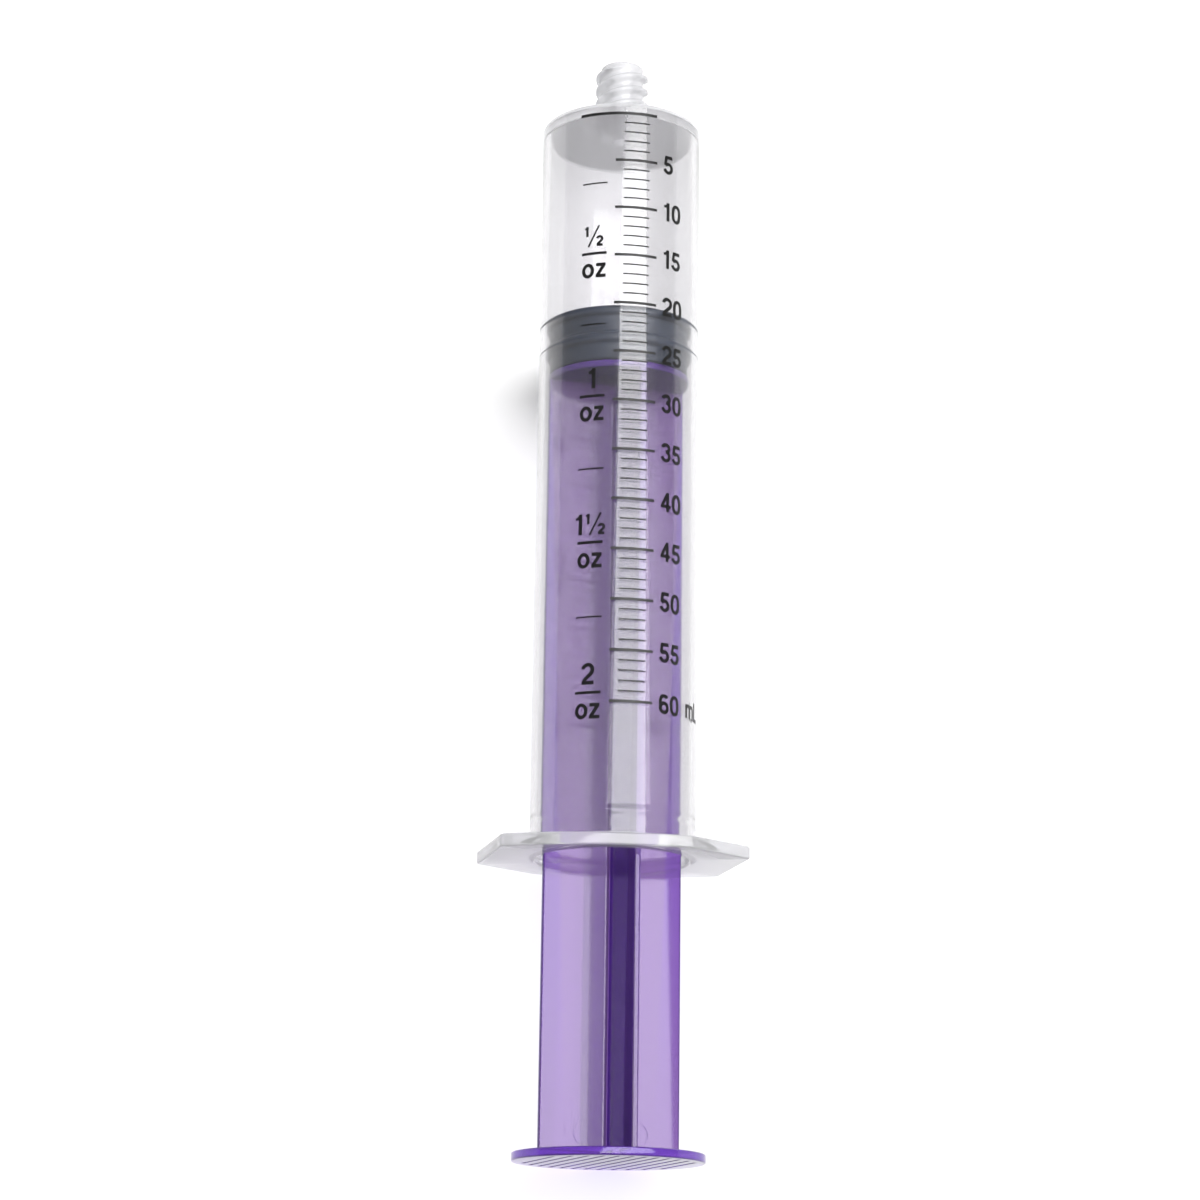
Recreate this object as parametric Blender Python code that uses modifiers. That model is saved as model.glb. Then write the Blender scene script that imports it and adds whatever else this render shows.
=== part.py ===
"""Oral syringe of 60 mL, built as its three real pieces.

barrel        clear moulding: tube, finger flange, retention bead, end wall and threaded tip
stopper       rubber plug with two sealing rings and a snap-in cavity
plunger_rod   violet moulding: head, cross of four ribs and a grooved thumb disc

The syringe lies on its side: its axis runs along +Y with the tip at +Y, +Z is up, and the
origin is under the middle of it. Every piece is modelled upright around its own Z axis and then
laid down, so a piece's local +Z points to the tip. Lengths along the syringe are measured from
the thumb-side face of the flange.
"""
import math

import bmesh
import bpy
from mathutils import Matrix

# ---------------------------------------------------------------- driving dimensions (metres)
BORE_DIAMETER = 0.0265
WALL_THICKNESS = 0.00125
SCALE_VOLUME_ML = 60.0
DOSE_AT_REST_ML = 20.0

# places along the axis, from the thumb-side face of the flange
ZERO_MARK = 0.1341            # where the stopper's front edge stands when the syringe is empty
END_WALL_INSIDE = 0.1344
END_WALL_OUTSIDE = 0.1364
TIP_END = 0.1493
BEAD_PLACE = 0.0066           # inner bead that stops the plunger from being pulled out

# barrel
BEAD_HEIGHT = 0.00025
BEAD_LENGTH = 0.0018
ENTRY_CHAMFER = 0.0006
BORE_CORNER = 0.0005
SHOULDER_ROUNDING = 0.0009

# flange
FLANGE_THICKNESS = 0.0022
FLANGE_TIP_X = 0.0237         # pointed ends
FLANGE_TIP_Z = 0.0044
FLANGE_NEAR_X = 0.0141        # the two corners of a long side, and how far it stands from the axis
FLANGE_FAR_X = 0.0189
FLANGE_CORNER_Z = 0.0138
FLANGE_BOW = 0.0029           # how far the middle of a long side stands out past its corners
FLANGE_ARC_STEPS = 12

# tip
TIP_CORE_RADIUS = 0.00395
TIP_BORE_MOUTH_RADIUS = 0.00275
TIP_BORE_SEAT_RADIUS = 0.00255
TIP_BORE_DEPTH = 0.0085
TIP_CHANNEL_RADIUS = 0.0015
TIP_SEAT_CONE = 0.0006
TIP_ROUNDING = 0.0006
TIP_ROOT = 0.0006
THREAD_RADIUS = 0.00485
THREAD_WIRE_RADIUS = 0.00085
THREAD_LEAD = 0.0052
THREAD_STARTS = 2
THREAD_TURNS = 1.55
THREAD_BASE = 0.1394
THREAD_POINTS_PER_TURN = 20

# stopper
RING_CLEARANCE = 0.00010
STOPPER_LENGTH = 0.0099
STOPPER_RING_LENGTH = 0.0012
STOPPER_RING_SPACING = 0.0059
STOPPER_RING_SLOPE = 0.0005
STOPPER_ROUNDING = 0.0004
STOPPER_WAIST_RADIUS = 0.0125
CAVITY_MOUTH_RADIUS = 0.0060
CAVITY_RADIUS = 0.0085
CAVITY_LIP = 0.0025
CAVITY_DEPTH = 0.0069

# plunger rod
FIT_GAP = 0.0003
ROD_TURN = math.radians(20.3)  # how far the cross is turned about the axis
RIB_RADIUS = 0.0127
RIB_EDGE_THICKNESS = 0.0011
RIB_ROOT_THICKNESS = 0.0016
HEAD_DISC_RADIUS = 0.0126
HEAD_DISC_THICKNESS = 0.0012
BUTTON_SLOPE = 0.0012
THUMB_DISC_RADIUS = 0.0165
THUMB_EDGE = 0.0003
THUMB_DISC_INSIDE = -0.0501
THUMB_DISC_THICKNESS = 0.0015
THUMB_GROOVE_PITCH = 0.0023
THUMB_GROOVE_WIDTH = 0.0006
THUMB_GROOVE_DEPTH = 0.00035
THUMB_GROOVE_COUNT = 12
THUMB_BORDER = 0.0012         # smooth border around the grooves

TURN_STEPS = 64
OVERLAP = 0.0002              # how deep shapes of one piece run into each other before the union

# ---------------------------------------------------------------- worked out from those
BORE_RADIUS = BORE_DIAMETER / 2
BARREL_RADIUS = BORE_RADIUS + WALL_THICKNESS
STROKE_PER_ML = 1e-6 / (math.pi * BORE_RADIUS ** 2)
STOPPER_FRONT = ZERO_MARK - DOSE_AT_REST_ML * STROKE_PER_ML
RING_RADIUS = BORE_RADIUS - RING_CLEARANCE
AXIS_HEIGHT = FLANGE_CORNER_Z + FLANGE_BOW
THUMB_DISC_OUTSIDE = THUMB_DISC_INSIDE - THUMB_DISC_THICKNESS
MIDDLE = (TIP_END + THUMB_DISC_OUTSIDE) / 2
LAID_DOWN = -math.pi / 2


# ---------------------------------------------------------------- helpers
def clear_scene():
    """Removes what the new file comes with."""
    for thing in list(bpy.data.objects):
        bpy.data.objects.remove(thing, do_unlink=True)


def new_collection(name):
    """A collection linked to the scene."""
    collection = bpy.data.collections.new(name)
    bpy.context.scene.collection.children.link(collection)
    return collection


def plastic(name, colour, roughness, alpha=1.0):
    """A Principled material for one piece."""
    material = bpy.data.materials.new(name)
    material.use_nodes = True
    shader = material.node_tree.nodes["Principled BSDF"]
    shader.inputs["Base Color"].default_value = (*colour, 1.0)
    shader.inputs["Roughness"].default_value = roughness
    shader.inputs["Metallic"].default_value = 0.0
    shader.inputs["Alpha"].default_value = alpha
    material.diffuse_color = (*colour, alpha)
    return material


def place(thing, along, turn=0.0):
    """Lays a piece on the syringe's axis, with its origin at a place along it."""
    thing.location = (0.0, along - MIDDLE, AXIS_HEIGHT)
    thing.rotation_euler = (LAID_DOWN, turn, 0.0)


def turned(name, profile, collection, steps=TURN_STEPS):
    """A body turned around Z from (radius, height) points, from the top down the outer side."""
    mesh = bpy.data.meshes.new(name)
    points = [(radius, 0.0, height) for radius, height in profile]
    edges = [(i, i + 1) for i in range(len(points) - 1)]
    if profile[0][0] > 0 and profile[-1][0] > 0:
        edges.append((len(points) - 1, 0))
    mesh.from_pydata(points, edges, [])
    thing = bpy.data.objects.new(name, mesh)
    collection.objects.link(thing)
    screw = thing.modifiers.new("turn", "SCREW")
    screw.axis = "Z"
    screw.steps = steps
    screw.render_steps = steps
    screw.use_merge_vertices = True
    screw.merge_threshold = 0.00001
    return thing


def flat_shape(name, outline, height, collection):
    """A closed flat outline given a height, as a mesh centred on Z = 0."""
    curve = bpy.data.curves.new(name, "CURVE")
    curve.dimensions = "2D"
    curve.fill_mode = "BOTH"
    curve.extrude = height / 2
    spline = curve.splines.new("POLY")
    spline.points.add(len(outline) - 1)
    for point, (x, y) in zip(spline.points, outline):
        point.co = (x, y, 0.0, 1.0)
    spline.use_cyclic_u = True
    return curve_to_mesh(name, curve, collection)


def curve_to_mesh(name, curve, collection):
    """The evaluated curve as a closed mesh object."""
    guide = bpy.data.objects.new(name + "_guide", curve)
    collection.objects.link(guide)
    depsgraph = bpy.context.evaluated_depsgraph_get()
    mesh = bpy.data.meshes.new_from_object(guide.evaluated_get(depsgraph))
    mesh.name = name
    shape = bmesh.new()
    shape.from_mesh(mesh)
    bmesh.ops.remove_doubles(shape, verts=shape.verts, dist=0.000001)
    bmesh.ops.recalc_face_normals(shape, faces=shape.faces)
    shape.to_mesh(mesh)
    shape.free()
    thing = bpy.data.objects.new(name, mesh)
    collection.objects.link(thing)
    bpy.data.objects.remove(guide, do_unlink=True)
    return thing


def box(name, size, centre, collection):
    """A box of a given size around a centre."""
    mesh = bpy.data.meshes.new(name)
    shape = bmesh.new()
    matrix = Matrix.Translation(centre) @ Matrix.Diagonal((*size, 1.0))
    bmesh.ops.create_cube(shape, size=1.0, matrix=matrix)
    shape.to_mesh(mesh)
    shape.free()
    thing = bpy.data.objects.new(name, mesh)
    collection.objects.link(thing)
    return thing


def combine(piece, tool, operation, along, turn=0.0):
    """Joins a tool to a piece, or cuts it away, where both share one placing."""
    place(tool, along, turn)
    tool.hide_render = True
    tool.display_type = "WIRE"
    boolean = piece.modifiers.new(tool.name, "BOOLEAN")
    boolean.operation = operation
    boolean.solver = "EXACT"
    boolean.object = tool


def finish(piece, material):
    """Applies the modifiers, gives the piece its material and shades it smooth but for its edges."""
    depsgraph = bpy.context.evaluated_depsgraph_get()
    mesh = bpy.data.meshes.new_from_object(piece.evaluated_get(depsgraph))
    mesh.name = piece.name
    piece.modifiers.clear()
    piece.data = mesh
    mesh.materials.clear()
    mesh.materials.append(material)
    mesh.shade_smooth()
    mesh.set_sharp_from_angle(angle=math.radians(35))


def rounded_corner(radius, height, size, steps=3):
    """Points of a rounded outer corner, from a top face over to the side below it."""
    centre_radius = radius - size
    centre_height = height - size
    points = []
    for step in range(steps + 1):
        angle = math.pi / 2 * (1 - step / steps)
        points.append((centre_radius + size * math.cos(angle), centre_height + size * math.sin(angle)))
    return points


# ---------------------------------------------------------------- barrel
def flange_outline():
    """The flange seen from the thumb end: two bowed long sides and two pointed ends."""
    half_chord = (FLANGE_NEAR_X + FLANGE_FAR_X) / 2
    middle_x = (FLANGE_NEAR_X - FLANGE_FAR_X) / 2
    arc_radius = (half_chord ** 2 + FLANGE_BOW ** 2) / (2 * FLANGE_BOW)
    half_angle = math.asin(half_chord / arc_radius)
    side = []
    for step in range(FLANGE_ARC_STEPS + 1):
        angle = half_angle * (2 * step / FLANGE_ARC_STEPS - 1)
        x = middle_x + arc_radius * math.sin(angle)
        up = FLANGE_CORNER_Z + FLANGE_BOW - arc_radius * (1 - math.cos(angle))
        side.append((x, up))
    side.append((FLANGE_TIP_X, FLANGE_TIP_Z))
    other_side = [(-x, -up) for x, up in side]
    # local +Y points down once the barrel is laid on its side
    return [(x, -up) for x, up in side + other_side]


def thread_start(name, first_angle, collection):
    """One start of the tip's thread: a round ridge wound around the core."""
    curve = bpy.data.curves.new(name, "CURVE")
    curve.dimensions = "3D"
    curve.bevel_depth = THREAD_WIRE_RADIUS
    curve.bevel_resolution = 1
    curve.use_fill_caps = True
    spline = curve.splines.new("POLY")
    count = int(THREAD_TURNS * THREAD_POINTS_PER_TURN) + 1
    spline.points.add(count - 1)
    centre_radius = THREAD_RADIUS - THREAD_WIRE_RADIUS
    for number, point in enumerate(spline.points):
        turn = number / THREAD_POINTS_PER_TURN
        angle = first_angle + 2 * math.pi * turn
        height = THREAD_BASE + THREAD_LEAD * turn
        point.co = (centre_radius * math.cos(angle), centre_radius * math.sin(angle), height, 1.0)
    return curve_to_mesh(name, curve, collection)


def make_barrel(parts, cutters):
    """The clear moulding: outer body, flange and thread joined, then hollowed from the open end."""
    profile = [(0.0, TIP_END)] + rounded_corner(TIP_CORE_RADIUS, TIP_END, TIP_ROUNDING)
    profile += [(TIP_CORE_RADIUS, END_WALL_OUTSIDE + TIP_ROOT), (TIP_CORE_RADIUS + TIP_ROOT, END_WALL_OUTSIDE)]
    profile += rounded_corner(BARREL_RADIUS, END_WALL_OUTSIDE, SHOULDER_ROUNDING)
    profile += [(BARREL_RADIUS, 0.0), (0.0, 0.0)]
    barrel = turned("barrel", profile, parts)
    place(barrel, 0.0)

    flange = flat_shape("flange_plate", flange_outline(), FLANGE_THICKNESS, cutters)
    flange.data.transform(Matrix.Translation((0.0, 0.0, FLANGE_THICKNESS / 2)))
    combine(barrel, flange, "UNION", 0.0)
    for start in range(THREAD_STARTS):
        ridge = thread_start(f"thread_start_{start + 1}", 2 * math.pi * start / THREAD_STARTS, cutters)
        combine(barrel, ridge, "UNION", 0.0)

    seat = TIP_END - TIP_BORE_DEPTH
    crown = BEAD_LENGTH / 6
    hollow = [(0.0, TIP_END + OVERLAP), (TIP_BORE_MOUTH_RADIUS, TIP_END + OVERLAP), (TIP_BORE_SEAT_RADIUS, seat)]
    hollow += [(TIP_CHANNEL_RADIUS, seat - TIP_SEAT_CONE), (TIP_CHANNEL_RADIUS, END_WALL_INSIDE)]
    hollow += rounded_corner(BORE_RADIUS, END_WALL_INSIDE, BORE_CORNER, 2)
    hollow += [(BORE_RADIUS, BEAD_PLACE + BEAD_LENGTH / 2), (BORE_RADIUS - BEAD_HEIGHT, BEAD_PLACE + crown)]
    hollow += [(BORE_RADIUS - BEAD_HEIGHT, BEAD_PLACE - crown), (BORE_RADIUS, BEAD_PLACE - BEAD_LENGTH / 2)]
    hollow += [(BORE_RADIUS, ENTRY_CHAMFER), (BORE_RADIUS + ENTRY_CHAMFER + OVERLAP, -OVERLAP), (0.0, -OVERLAP)]
    combine(barrel, turned("barrel_hollow", hollow, cutters), "DIFFERENCE", 0.0)
    finish(barrel, plastic("barrel_clear_polypropylene", (0.86, 0.87, 0.90), 0.12, 0.35))


# ---------------------------------------------------------------- stopper
def make_stopper(parts):
    """The rubber plug: front ring, waist, rear ring and a skirt, hollowed for the rod's button."""
    ring_end = -STOPPER_RING_LENGTH
    rear_ring = -STOPPER_RING_SPACING
    ring_top = rear_ring + STOPPER_RING_LENGTH / 2
    ring_base = rear_ring - STOPPER_RING_LENGTH / 2
    profile = [(0.0, 0.0)] + rounded_corner(RING_RADIUS, 0.0, STOPPER_ROUNDING, 2)
    profile += [(RING_RADIUS, ring_end), (STOPPER_WAIST_RADIUS, ring_end - STOPPER_RING_SLOPE)]
    profile += [(STOPPER_WAIST_RADIUS, ring_top + STOPPER_RING_SLOPE), (RING_RADIUS, ring_top)]
    profile += [(RING_RADIUS, ring_base), (STOPPER_WAIST_RADIUS, ring_base - STOPPER_RING_SLOPE)]
    profile += [(STOPPER_WAIST_RADIUS, -STOPPER_LENGTH), (CAVITY_MOUTH_RADIUS, -STOPPER_LENGTH)]
    lip = CAVITY_LIP - STOPPER_LENGTH
    roof = CAVITY_DEPTH - STOPPER_LENGTH
    profile += [(CAVITY_MOUTH_RADIUS, lip), (CAVITY_RADIUS, lip), (CAVITY_RADIUS, roof), (0.0, roof)]
    stopper = turned("stopper", profile, parts)
    place(stopper, STOPPER_FRONT)
    finish(stopper, plastic("stopper_grey_rubber", (0.105, 0.125, 0.170), 0.55))


# ---------------------------------------------------------------- plunger rod
def cross_outline():
    """Section of the rod: four ribs, each a little thicker at its root than at its edge."""
    root = RIB_ROOT_THICKNESS / 2
    edge = RIB_EDGE_THICKNESS / 2
    outline = []
    for quarter in range(4):
        angle = quarter * math.pi / 2
        for along, across in ((RIB_RADIUS, -edge), (RIB_RADIUS, edge), (root, root)):
            x = along * math.cos(angle) - across * math.sin(angle)
            y = along * math.sin(angle) + across * math.cos(angle)
            outline.append((x, y))
    return outline


def make_plunger_rod(parts, cutters):
    """The rod: button, neck and head disc turned in one, then ribs, thumb disc and its grooves."""
    rear = STOPPER_FRONT - STOPPER_LENGTH
    disc_front = rear - FIT_GAP
    disc_back = disc_front - HEAD_DISC_THICKNESS
    button_front = rear + CAVITY_DEPTH - FIT_GAP
    button_back = rear + CAVITY_LIP + FIT_GAP
    neck_radius = CAVITY_MOUTH_RADIUS - FIT_GAP
    button_radius = CAVITY_RADIUS - FIT_GAP
    profile = [(0.0, button_front), (button_radius - BUTTON_SLOPE, button_front)]
    profile += [(button_radius, button_front - BUTTON_SLOPE)]
    profile += [(button_radius, button_back), (neck_radius, button_back), (neck_radius, disc_front)]
    profile += [(HEAD_DISC_RADIUS, disc_front), (HEAD_DISC_RADIUS, disc_back), (0.0, disc_back)]
    rod = turned("plunger_rod", [(radius, height - rear) for radius, height in profile], parts)
    place(rod, rear, ROD_TURN)

    rib_length = disc_back - THUMB_DISC_INSIDE + 2 * OVERLAP
    cross = flat_shape("rib_cross", cross_outline(), rib_length, cutters)
    cross_middle = (disc_back + THUMB_DISC_INSIDE) / 2 - rear
    cross.data.transform(Matrix.Translation((0.0, 0.0, cross_middle)))
    combine(rod, cross, "UNION", rear, ROD_TURN)

    face = THUMB_DISC_OUTSIDE
    rim = [(0.0, THUMB_DISC_INSIDE), (THUMB_DISC_RADIUS - THUMB_EDGE, THUMB_DISC_INSIDE)]
    rim += [(THUMB_DISC_RADIUS, THUMB_DISC_INSIDE - THUMB_EDGE), (THUMB_DISC_RADIUS, face + THUMB_EDGE)]
    rim += [(THUMB_DISC_RADIUS - THUMB_EDGE, face), (0.0, face)]
    thumb = turned("thumb_disc", [(radius, height - rear) for radius, height in rim], cutters)
    combine(rod, thumb, "UNION", rear, ROD_TURN)

    for number in range(THUMB_GROOVE_COUNT):
        offset = (number - (THUMB_GROOVE_COUNT - 1) / 2) * THUMB_GROOVE_PITCH
        reach = math.sqrt((THUMB_DISC_RADIUS - THUMB_BORDER) ** 2 - (abs(offset) + THUMB_GROOVE_WIDTH / 2) ** 2)
        depth = THUMB_GROOVE_DEPTH + OVERLAP
        centre = (offset, 0.0, face - rear + THUMB_GROOVE_DEPTH - depth / 2)
        groove = box(f"thumb_groove_{number + 1}", (THUMB_GROOVE_WIDTH, 2 * reach, depth), centre, cutters)
        combine(rod, groove, "DIFFERENCE", rear, ROD_TURN)
    finish(rod, plastic("rod_violet_polypropylene", (0.23, 0.12, 0.55), 0.18, 0.6))


# ---------------------------------------------------------------- build
def main():
    """Makes the syringe's three pieces."""
    clear_scene()
    parts = new_collection("oral_syringe")
    cutters = new_collection("oral_syringe_cutters")
    make_barrel(parts, cutters)
    make_stopper(parts)
    make_plunger_rod(parts, cutters)


main()
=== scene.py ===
# %% [markdown]
# # A 60 mL oral syringe
# Three mouldings make this syringe: a clear barrel, a rubber stopper and a violet plunger rod. The packed
# model already fixes where each one is and how it moves. This lesson gives each of them its real surface:
# rounded edges, a true thread, a printed scale, and plastics that bend and tint the light going through them.

# %% The fixed frame
import math

import bmesh
import bpy
from mathutils import Matrix, Vector


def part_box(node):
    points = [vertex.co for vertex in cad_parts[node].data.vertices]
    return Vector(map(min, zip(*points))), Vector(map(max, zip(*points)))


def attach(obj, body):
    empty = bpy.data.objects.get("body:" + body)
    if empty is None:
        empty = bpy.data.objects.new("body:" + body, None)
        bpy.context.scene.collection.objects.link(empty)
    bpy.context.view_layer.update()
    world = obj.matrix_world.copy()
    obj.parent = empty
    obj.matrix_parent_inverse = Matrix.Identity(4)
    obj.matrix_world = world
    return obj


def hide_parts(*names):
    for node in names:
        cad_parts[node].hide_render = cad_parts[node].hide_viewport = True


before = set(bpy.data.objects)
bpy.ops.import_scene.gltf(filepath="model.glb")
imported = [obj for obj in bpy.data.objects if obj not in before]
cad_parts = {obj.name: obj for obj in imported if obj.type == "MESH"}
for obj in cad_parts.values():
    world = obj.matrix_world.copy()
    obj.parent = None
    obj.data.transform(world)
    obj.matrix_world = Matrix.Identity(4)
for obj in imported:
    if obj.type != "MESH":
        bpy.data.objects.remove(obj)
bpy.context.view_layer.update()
print("packed nodes:", sorted(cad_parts))

# %% [markdown]
# ## Places along the syringe
# The syringe lies along Y with its tip at +Y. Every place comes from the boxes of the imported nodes, so the
# detailed pieces land exactly on the plain ones. The few sizes that a box can't tell, such as the wall's
# thickness, are written down here once and used by every piece.

# %% Places and sizes
MM = 0.001
barrel_low, barrel_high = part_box("barrel")
stopper_low, stopper_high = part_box("stopper")
rod_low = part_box("plunger_rod")[0]
AXIS_Z = (stopper_low.z + stopper_high.z) / 2
FLANGE_FACE = barrel_low.y
TIP_END = barrel_high.y
STOPPER_FRONT = stopper_high.y
STOPPER_REAR = stopper_low.y
THUMB_OUTSIDE = rod_low.y
BORE_RADIUS = 13.25 * MM
BARREL_RADIUS = 14.5 * MM
STROKE_PER_ML = 1e-6 / (math.pi * BORE_RADIUS ** 2)
ZERO_MARK = STOPPER_FRONT + 20 * STROKE_PER_ML
END_WALL_INSIDE = ZERO_MARK + 0.3 * MM
END_WALL_OUTSIDE = END_WALL_INSIDE + 2.0 * MM
ROD_TURN = math.radians(20.3)
print(f"axis {AXIS_Z / MM:.2f} mm up, flange at {FLANGE_FACE / MM:.2f}, zero mark at {ZERO_MARK / MM:.2f} mm")
print(f"one millilitre is {STROKE_PER_ML / MM:.3f} mm of stroke")

# %% [markdown]
# ## Turning a piece
# Most of a syringe is round, so one helper turns a list of rings into a closed skin. A ring is a radius and
# a place along Y. The radius may be a function of the angle, which lets a ring swell into the flange's
# outline without breaking the even grid of faces, and clear plastic needs that: every seam would show.
# Angles run from straight up towards +X.


# %% Helpers for turned pieces
def new_object(name, data):
    """An object in the scene for a mesh, a lamp or a camera."""
    thing = bpy.data.objects.new(name, data)
    bpy.context.scene.collection.objects.link(thing)
    return thing


def object_from(name, shape):
    """An object with the mesh of a finished shape."""
    mesh = bpy.data.meshes.new(name)
    shape.to_mesh(mesh)
    shape.free()
    return new_object(name, mesh)


def add_band(shape, first, second):
    """A closed band of faces between two rows of corners."""
    for number in range(len(first)):
        following = (number + 1) % len(first)
        shape.faces.new((first[number], first[following], second[following], second[number]))


def on_axis(radius, angle, y):
    """The point at a radius and an angle from straight up, at a place along the syringe."""
    return Vector((radius * math.sin(angle), y, AXIS_Z + radius * math.cos(angle)))


def turned_skin(name, rings, sides, closed=False):
    """A closed mesh object from rings of (radius or radius function, y)."""
    skin = bmesh.new()
    angles = [2 * math.pi * number / sides for number in range(sides)]
    rows = []
    for radius, y in rings:
        reaches = [radius(angle) if callable(radius) else radius for angle in angles]
        rows.append([skin.verts.new(on_axis(reach, angle, y)) for reach, angle in zip(reaches, angles)])
    if closed:
        rows.append(rows[0])
    for upper, lower in zip(rows, rows[1:]):
        add_band(skin, upper, lower)
    bmesh.ops.remove_doubles(skin, verts=skin.verts, dist=1e-7)
    bmesh.ops.recalc_face_normals(skin, faces=skin.faces)
    return object_from(name, skin)


def rounded(radius, y, before, after, steps=5):
    """Ring places that round off a corner, between two (radius, y) offsets from it in millimetres."""
    places = []
    for step in range(steps + 1):
        t = step / steps
        near, far = (1 - t) ** 2 * MM, t * t * MM
        places.append((radius + near * before[0] + far * after[0], y + near * before[1] + far * after[1]))
    return places


def shade(thing, degrees=32):
    """Smooth shading that keeps the real edges sharp."""
    thing.data.shade_smooth()
    thing.data.set_sharp_from_angle(angle=math.radians(degrees))


# %% [markdown]
# ## The flange's outline
# The finger flange is a plate with two bowed long sides and two blunt points, and its second half is the
# first one turned half round. A ring needs one number from it: how far the outline is from the axis at an
# angle. Each straight side and each bowed side gives such a distance, and a soft minimum of them all is
# the outline with its corners rounded off.

# %% The outline as a function of the angle
FLANGE_POINT = Vector((23.78, 4.4)) * MM
FLANGE_NEAR = Vector((14.1, 13.8)) * MM
FLANGE_FAR = Vector((-18.9, 13.8)) * MM
FLANGE_BOW = 2.9 * MM
CORNER_SHARPNESS = 150
half_chord = (FLANGE_NEAR - FLANGE_FAR).length / 2
bow_radius = (half_chord ** 2 + FLANGE_BOW ** 2) / (2 * FLANGE_BOW)
bow_centre = (FLANGE_NEAR + FLANGE_FAR) / 2 + Vector((0.0, FLANGE_BOW - bow_radius))


def reach_of_side(direction, first, second):
    """Distance along a direction to the line through two corners, or a long way if it points away."""
    side = second - first
    across = Vector((side.y, -side.x)).normalized()
    across = across if across.dot(first) > 0 else -across
    facing = direction.dot(across)
    return first.dot(across) / facing if facing > 0.05 else 1.0


def reach_of_bow(direction):
    """Distance along a direction to the bowed side's circle."""
    along = direction.dot(bow_centre)
    return along + math.sqrt(along ** 2 - bow_centre.length_squared + bow_radius ** 2)


def flange_reach(angle, inset=0.0):
    """How far the flange's edge is from the axis at an angle."""
    direction = Vector((math.sin(angle), math.cos(angle)))
    reaches = []
    for turned in (direction, -direction):
        reaches.append(reach_of_side(turned, FLANGE_NEAR, FLANGE_POINT))
        reaches.append(reach_of_side(turned, FLANGE_POINT, -FLANGE_FAR))
        reaches.append(reach_of_bow(turned))
    soft = sum((reach / MM) ** -CORNER_SHARPNESS for reach in reaches) ** (-1 / CORNER_SHARPNESS)
    return soft * MM - inset


point_angle = math.atan2(FLANGE_POINT.x, FLANGE_POINT.y)
point_reach, top_reach = flange_reach(point_angle), flange_reach(0)
print(f"flange reaches {point_reach / MM:.1f} mm at its point and {top_reach / MM:.1f} mm on top")

# %% [markdown]
# ## The barrel
# One closed skin runs from the tip's mouth down the outside, over the shoulder, along the tube, out around
# the flange, back in over its rounded edge, and up the bore to the end wall and the tip's taper. Because it
# is one skin with a real wall inside it, light bends at the outer face and again at the inner face, as it
# does in the real moulding. The tip's rings lie close together, because the thread is raised from them next.

# %% The barrel's skin
BARREL_SIDES = 256
FLANGE_THICKNESS = 2.2 * MM
TIP_CORE = 3.95 * MM
BORE_MOUTH = 2.75 * MM
SEAT_RADIUS = 2.55 * MM
SEAT_DEPTH = 8.5 * MM
CHANNEL_RADIUS = 1.5 * MM
THREAD_ROWS = 96
BEAD_PLACE = FLANGE_FACE + 6.6 * MM
BEAD_HALF_WIDTH = 1.2 * MM
BEAD_HEIGHT = 0.12 * MM
BEAD_ROWS = 10


def barrel_rings():
    """Rings of the whole barrel, once around its section."""
    tip_round, root_round, shoulder, fillet, edge, entry, corner = 0.7, 0.8, 1.0, 0.5, 0.35, 0.6, 0.5
    rings = rounded(BORE_MOUTH, TIP_END, (0, -0.3), (0.3, 0), 3)
    rings += rounded(TIP_CORE, TIP_END, (-tip_round, 0), (0, -tip_round))
    top, base = TIP_END - tip_round * MM, END_WALL_OUTSIDE + root_round * MM
    rings += [(TIP_CORE, top + (base - top) * row / THREAD_ROWS) for row in range(1, THREAD_ROWS)]
    rings += rounded(TIP_CORE, END_WALL_OUTSIDE, (0, root_round), (root_round, 0))
    rings += rounded(BARREL_RADIUS, END_WALL_OUTSIDE, (-shoulder, 0), (0, -shoulder), 7)
    flange_top = FLANGE_FACE + FLANGE_THICKNESS
    rings += rounded(BARREL_RADIUS, flange_top, (0, fillet), (fillet, 0), 4)
    rim = rounded(0.0, flange_top, (edge, 0), (0, -edge), 4)
    rim += rounded(0.0, FLANGE_FACE, (0, edge), (edge, 0), 4)
    rings += [(lambda angle, inset=inset: flange_reach(angle, inset), y) for inset, y in rim]
    rings += rounded(BORE_RADIUS, FLANGE_FACE, (entry, 0), (0, entry))
    for row in range(BEAD_ROWS + 1):
        along = 2 * row / BEAD_ROWS - 1
        swell = BEAD_HEIGHT * math.cos(along * math.pi / 2) ** 2
        rings.append((BORE_RADIUS - swell, BEAD_PLACE + along * BEAD_HALF_WIDTH))
    rings += rounded(BORE_RADIUS, END_WALL_INSIDE, (0, -corner), (-corner, 0))
    rings += rounded(CHANNEL_RADIUS, END_WALL_INSIDE, (0.4, 0), (0, 0.4), 3)
    seat = TIP_END - SEAT_DEPTH
    return rings + [(CHANNEL_RADIUS, seat - 0.6 * MM), (SEAT_RADIUS, seat)]


barrel = turned_skin("barrel_clear", barrel_rings(), BARREL_SIDES, closed=True)
print("barrel skin:", len(barrel.data.polygons), "faces")

# %% [markdown]
# ## Geometry Nodes, wired by name
# The thread, the scale's lines and the thumb grooves all follow a rule, so each is a small node tree. A few
# helpers keep the wiring short: one starts a tree with named inputs, some add a step each, and one runs the
# tree on an object and keeps the result as a plain mesh. The materials use the same helpers.


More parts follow.
